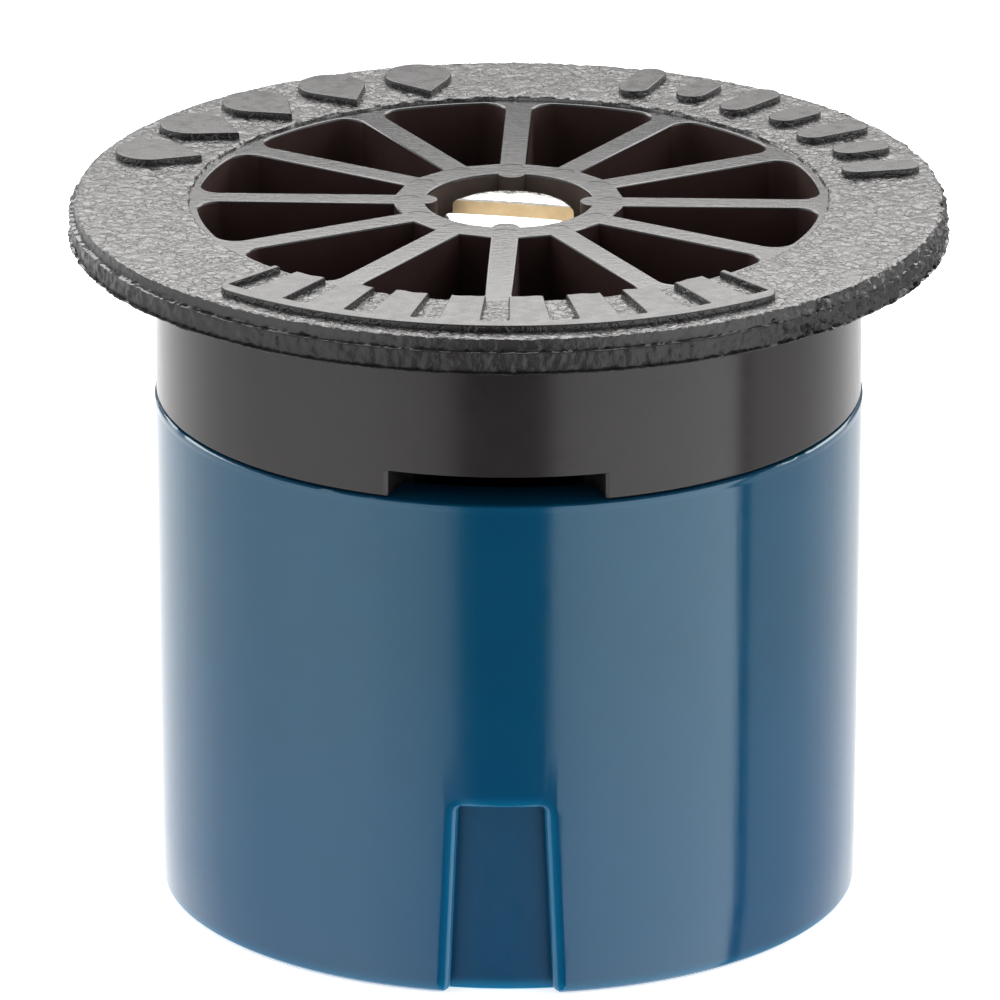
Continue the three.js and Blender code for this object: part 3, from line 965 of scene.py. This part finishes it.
def stainless():
    n = Nodes("stainless_steel")
    colour = n.colours(n.noise(3, 3), (0.80, 0.79, 0.76), (0.90, 0.89, 0.87))
    scratches = n.bump(n.noise(9, 3, stretch=(1, 8, 1)), 0.004, 0.5)
    roughness = n.spread(n.noise(6, 3), 0.18, 0.34)
    return n.set(Base_Color=colour, Metallic=1.0, Roughness=roughness, Normal=scratches)


def tarnished_slot():
    n = Nodes("slot_steel")
    colour = n.colours(n.noise(2.5, 4, stretch=(1, 4, 1)), (0.70, 0.61, 0.47), (0.80, 0.72, 0.58))
    tooling = n.bump(n.noise(7, 3, stretch=(0.5, 6, 1)), 0.006, 0.6)
    roughness = n.spread(n.noise(5, 3), 0.38, 0.55)
    return n.set(Base_Color=colour, Metallic=1.0, Roughness=roughness, Normal=tooling)


def rubber(name, tint):
    n = Nodes(name)
    colour = n.colours(n.noise(2, 4), tuple(0.8 * c for c in tint), tuple(1.2 * c for c in tint))
    fine = n.bump(n.noise(10, 4, 0.6), 0.012, 0.7)
    return n.set(Base_Color=colour, Roughness=n.spread(n.noise(5, 3), 0.55, 0.75), Normal=fine)


def natural_acetal():
    n = Nodes("natural_acetal")
    colour = n.colours(n.noise(1, 3), (0.66, 0.63, 0.55), (0.74, 0.71, 0.64))
    fine = n.bump(n.noise(8, 4), 0.004, 0.6)
    return n.set(
        Base_Color=colour, Roughness=n.spread(n.noise(4, 3), 0.32, 0.45), Normal=fine,
        Subsurface_Weight=0.2, Subsurface_Radius=(1.0, 0.9, 0.7), Subsurface_Scale=0.5 * MM,
    )


def paint(obj, finishes, choose=None):
    """Gives an object its materials, by finish. choose(radius, z, normal) names a face's finish, with its
    middle in millimetres. Without it, the first finish is used."""
    obj.data.materials.clear()
    for material in finishes.values():
        obj.data.materials.append(material)
    names = list(finishes)
    picks = np.zeros(len(obj.data.polygons), int)
    if choose:
        for i, face in enumerate(obj.data.polygons):
            x, y, z = face.center / MM
            picks[i] = names.index(choose(math.hypot(x, y), z, face.normal))
    obj.data.polygons.foreach_set("material_index", picks)


def cap_finish(radius, z, normal):
    if HUB_BORE_R - 0.5 < radius < HUB_BORE_R + 0.05 and HUB_BORE_FLOOR_Z < z < SPOKE_Z - 0.08:
        return "hub_bore"
    if z > MARK_Z - 0.06 and radius > GRAIN_INNER_R - 0.1:
        return "marks"
    if radius > FLANGE_EDGE_R - 0.12 and z < GRAIN_Z - 0.03:
        if normal.z > 0.75:            # the ledge and the flash catch the light
            return "polished"
        return "upper_rim" if z > LEDGE_Z + 0.005 else "lower_rim"
    if radius > FLANGE_EDGE_R - 0.2 and FLANGE_UNDER_Z + 0.02 < z < GRAIN_Z - 0.02:
        return "grained"
    if radius > GRAIN_INNER_R - 0.1 and SPOKE_Z + 0.005 < z < MARK_Z - 0.06:
        return "grained"
    if z > SPOKE_Z - 0.06:
        return "polished"
    # Painted shade: the pockets' walls and floors take the dull reddish black that stands in for their shade.
    if z > POCKET_FLOOR_Z - 0.01 and HUB_APOTHEM - 0.02 < radius < POCKET_R + 0.03:
        return "pockets"
    return "satin"


def body_finish(radius, z, normal):
    on_floor = z < RECESS_HEIGHT and abs(radius - BODY_BASE_R + RECESS_DEPTH) < 0.03
    return "recess_floor" if on_floor else "skirt"


def screw_finish(radius, z, normal):
    in_slot = radius < HEAD_R - 0.1 and HEAD_TOP_Z - SLOT_DEPTH - 0.01 < z < HEAD_TOP_Z - 0.06
    return "slot" if in_slot else "bright"


# ---------- placing ----------


def place(obj, body, node, slot, degrees=32, flat=()):
    """Shades a finished piece, and puts it on its body in place of its CAD node."""
    shade(obj, degrees, flat)
    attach(obj, body)
    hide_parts(node)


cap = deflector_cap()
paint(cap, {
    "grained": grained_black(),
    "polished": polished_black(),
    "satin": satin_black(),
    # Painted shade: the pockets take their own dull, reddish black, for the shade deep in them.
    "pockets": matt_black("painted_shade_pocket_black", (0.0250, 0.0135, 0.0120), (0.0295, 0.0160, 0.0145)),
    "lower_rim": rim_black("lower_rim_black", 0.42, 0.034, 0.5),
    "upper_rim": rim_black("upper_rim_black", 0.62, 0.018, 1.0),
    "marks": mark_black(),
    "hub_bore": matt_black("bore_black", (0.050, 0.036, 0.030), (0.058, 0.043, 0.036)),
}, cap_finish)
flat_tops = [(SPOKE_Z - EJECTOR_MARK_DEPTH, SPOKE_Z), (MARK_Z, MARK_Z)]
place(cap, "nozzle", "deflector_cap", "black_plastic", 40, flat_tops)

body = nozzle_body()
paint(body, {
    "skirt": blue_plastic("blue_plastic", 0.09, 0.13, 0.0012, 0.5),
    "recess_floor": blue_plastic("eroded_blue_plastic", 0.32, 0.42, 0.006, 0.25),
}, body_finish)
place(body, "nozzle", "nozzle_body", "blue_plastic", 30)

screw = adjusting_screw()
paint(screw, {"bright": stainless(), "slot": tarnished_slot()}, screw_finish)
place(screw, "screw", "adjusting_screw", "stainless_steel")

seal = o_ring()
paint(seal, {"rubber": rubber("o_ring_rubber", (0.012, 0.012, 0.012))})
place(seal, "screw_slider", "screw_o_ring", "seal_rubber", 60)

washer = flat_ring("moulded_flow_washer", WASHER_INNER_R, washer_low, washer_high, 0.12)
paint(washer, {"rubber": rubber("washer_rubber", (0.030, 0.030, 0.032))})
place(washer, "nozzle", "flow_control_washer", "seal_rubber", 60)

retainer = snap_ring()
paint(retainer, {"acetal": natural_acetal()})
place(retainer, "nozzle", "washer_retainer", "acetal", 60)

gasket = flat_ring("flat_riser_gasket", GASKET_INNER_R, gasket_low, gasket_high, 0.1)
paint(gasket, {"rubber": rubber("gasket_rubber", (0.015, 0.015, 0.015))})
place(gasket, "nozzle", "riser_gasket", "seal_rubber", 60)

# ---------- studio ----------


def floor():
    """A plain pale floor. It is clear from below, stays out of reflections and stops no light."""
    half = 3.0                         # metres
    corners = [(-half, -half, 0), (half, -half, 0), (half, half, 0), (-half, half, 0)]
    mesh = bpy.data.meshes.new("floor")
    mesh.from_pydata(corners, [], [(0, 1, 2, 3)])
    obj = bpy.data.objects.new("floor", mesh)
    bpy.context.scene.collection.objects.link(obj)
    obj.location.z = -0.02 * MM
    n = Nodes("pale_floor")
    n.set(Base_Color=(0.93, 0.93, 0.93, 1), Roughness=0.8, Emission_Color=(1, 1, 1, 1), Emission_Strength=0.6)
    n.shader.inputs["Specular IOR Level"].default_value = 0.0
    clear = n.add("ShaderNodeBsdfTransparent")
    mix = n.add("ShaderNodeMixShader")
    side = n.add("ShaderNodeNewGeometry")
    n.link(side.outputs["Backfacing"], mix.inputs["Fac"])
    n.link(n.shader.outputs["BSDF"], mix.inputs[1])
    n.link(clear.outputs["BSDF"], mix.inputs[2])
    n.link(mix.outputs["Shader"], n.tree.nodes["Material Output"].inputs["Surface"])
    mesh.materials.append(n.material)
    obj.visible_glossy = False
    obj.visible_shadow = False


def studio_light():
    """A bright surround with softboxes on both sides, a dark gap where the photographer stands, and a plain
    white backdrop. Angles run round the object from the front, positive towards +X, in degrees."""
    world = bpy.data.worlds.new("studio")
    bpy.context.scene.world = world
    world.use_nodes = True
    tree = world.node_tree
    tree.nodes.clear()
    add, link = tree.nodes.new, tree.links.new

    def math_node(operation, *inputs):
        node = add("ShaderNodeMath")
        node.operation = operation
        for socket, value in zip(node.inputs, inputs):
            if isinstance(value, bpy.types.NodeSocket):
                link(value, socket)
            else:
                socket.default_value = value
        return node.outputs[0]

    def ramp(value, steps):
        """A piecewise linear curve through (value, result) pairs, which span the value's whole range."""
        low, high, most = steps[0][0], steps[-1][0], 4.0
        node = add("ShaderNodeValToRGB")
        stops = node.color_ramp.elements
        while len(stops) > 1:
            stops.remove(stops[-1])
        for i, (at, result) in enumerate(steps):
            stop = stops[0] if i == 0 else stops.new((at - low) / (high - low))
            stop.position = (at - low) / (high - low)
            stop.color = (*(result / most,) * 3, 1)
        scaled = math_node("DIVIDE", math_node("SUBTRACT", value, low), high - low)
        link(scaled, node.inputs["Fac"])
        return math_node("MULTIPLY", node.outputs["Color"], most)

    direction = add("ShaderNodeTexCoord").outputs["Generated"]
    parts = add("ShaderNodeSeparateXYZ")
    link(direction, parts.inputs[0])
    x, y, z = parts.outputs
    degrees = 180 / math.pi
    azimuth = math_node("MULTIPLY", math_node("ARCTAN2", x, math_node("MULTIPLY", y, -1.0)), degrees)
    elevation = math_node("MULTIPLY", math_node("ARCSINE", z), degrees)
    sides = ramp(azimuth, [
        (-180, 2.1), (-148, 1.85), (-128, 1.6), (-108, 1.3), (-88, 1.35),              # back, left
        (-68, 1.62), (-48, 1.7), (-28, 1.38), (-18, 1.0), (-15, 0.5),                  # left softbox
        (-12, 0.08), (-8, 0.02), (13.5, 0.02), (14.5, 0.1),                            # dark gap
        (17.5, 1.5), (32, 1.92), (52, 2.2), (82.4, 2.65),                              # right softbox
        (83.2, 0.05), (87.2, 0.05),                                                    # its dark frame
        (88.2, 0.98), (112, 0.95), (132, 1.2), (152, 1.6), (168, 1.52), (180, 2.1),    # back, right
    ])
    above = ramp(azimuth, [
        (-180, 3.2), (-100, 2.7), (-50, 1.3), (-20, 0.3), (20, 0.3), (50, 1.3), (100, 2.7), (180, 3.2),
    ])
    overhead = ramp(elevation, [(-90, 0.0), (2, 0.0), (10, 0.0), (30, 1.0), (90, 1.0)])
    dimmed_behind = ramp(azimuth, [
        (-180, 0.68), (-140, 0.68), (-110, 0.0), (110, 0.0), (140, 0.68), (180, 0.68),
    ])
    dimmed_low = ramp(elevation, [(-90, 0), (-8, 0), (4, 1), (22, 1), (30, 0), (90, 0)])
    dimmed = math_node("MULTIPLY", dimmed_behind, dimmed_low)
    blend = math_node("ADD", math_node("MULTIPLY", sides, math_node("SUBTRACT", 1.0, overhead)),
                      math_node("MULTIPLY", overhead, above))
    surround = math_node("MULTIPLY", blend, math_node("SUBTRACT", 1.0, dimmed))
    light = add("ShaderNodeBackground")
    link(surround, light.inputs["Strength"])
    backdrop = add("ShaderNodeBackground")
    backdrop.inputs["Strength"].default_value = 1.0
    path = add("ShaderNodeLightPath")
    mix = add("ShaderNodeMixShader")
    link(path.outputs["Is Camera Ray"], mix.inputs["Fac"])
    link(light.outputs[0], mix.inputs[1])
    link(backdrop.outputs[0], mix.inputs[2])
    out = add("ShaderNodeOutputWorld")
    link(mix.outputs[0], out.inputs["Surface"])


def back_panel():
    """A softbox close behind the flange and above the view. Its lower edge, which edge_y and edge_z place,
    shades the flange from front to back."""
    width, height = 140 * MM, 34 * MM
    edge_y, edge_z = 45 * MM, (GRAIN_Z + 16.1) * MM
    tilt = math.radians(30)
    radiance = 3.15
    panel = bpy.data.lights.new("back_panel", "AREA")
    panel.shape = "RECTANGLE"
    panel.size, panel.size_y = width, height
    panel.color = (1.0, 0.985, 0.955)
    panel.energy = radiance * math.pi * width * height
    obj = bpy.data.objects.new("back_panel", panel)
    bpy.context.scene.collection.objects.link(obj)
    obj.location = (0, edge_y - height / 2 * math.sin(tilt), edge_z + height / 2 * math.cos(tilt))
    obj.rotation_euler = (math.radians(-90) + tilt, 0, 0)
    obj.visible_camera = False


def camera():
    """Long lens, a little above the flange and a little to the right of the outlet."""
    azimuth, elevation = math.radians(2.0), math.radians(18.6)
    distance = 371 * MM
    aim_right, aim_up = -0.22 * MM, -7.64 * MM        # from the middle of the flange
    lens = bpy.data.cameras.new("camera")
    lens.sensor_width = 36
    lens.lens = 531
    lens.clip_start, lens.clip_end = 0.01, 20
    obj = bpy.data.objects.new("camera", lens)
    bpy.context.scene.collection.objects.link(obj)
    top = Vector((0, 0, GRAIN_Z * MM))
    level = math.cos(elevation)
    back = Vector((math.sin(azimuth) * level, -math.cos(azimuth) * level, math.sin(elevation)))
    right = Vector((math.cos(azimuth), math.sin(azimuth), 0))
    up = back.cross(right)
    aim = top + aim_right * right + aim_up * up
    obj.location = top + distance * back
    obj.rotation_mode = "QUATERNION"
    obj.rotation_quaternion = (aim - obj.location).to_track_quat("-Z", "Y")
    bpy.context.scene.camera = obj


floor()
studio_light()
back_panel()
camera()
bpy.context.scene.view_settings.view_transform = "Standard"
